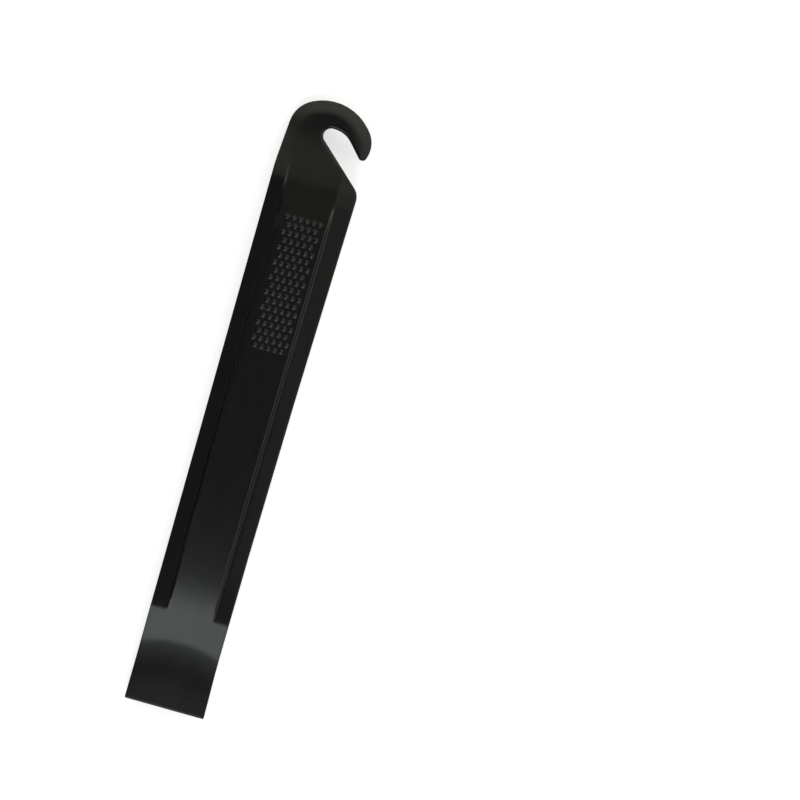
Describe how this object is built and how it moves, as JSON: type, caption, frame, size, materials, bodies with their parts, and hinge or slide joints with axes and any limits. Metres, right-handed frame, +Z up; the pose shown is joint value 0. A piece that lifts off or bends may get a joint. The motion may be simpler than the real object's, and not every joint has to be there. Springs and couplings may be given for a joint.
{
  "type": "tyre lever",
  "caption": "Flat hand lever with a scooped square-cut blade at one end, a raised gripping strip and a sideways hook at the other.",
  "frame": {"origin": "on the surface the lever lies on, under the middle of its bounding box", "axes": "+X along the lever towards the hook, +Z up out of the gripped face, and the hook's notch opens to -Y"},
  "size_m": [0.115, 0.0163, 0.0072],
  "materials": {
    "nylon": "satin moulded nylon with a fine texture",
    "core_steel": "plain rolled steel"
  },
  "bodies": {
    "root": {"nylon_body": "nylon", "steel_core": "core_steel"}
  },
  "joints": []
}
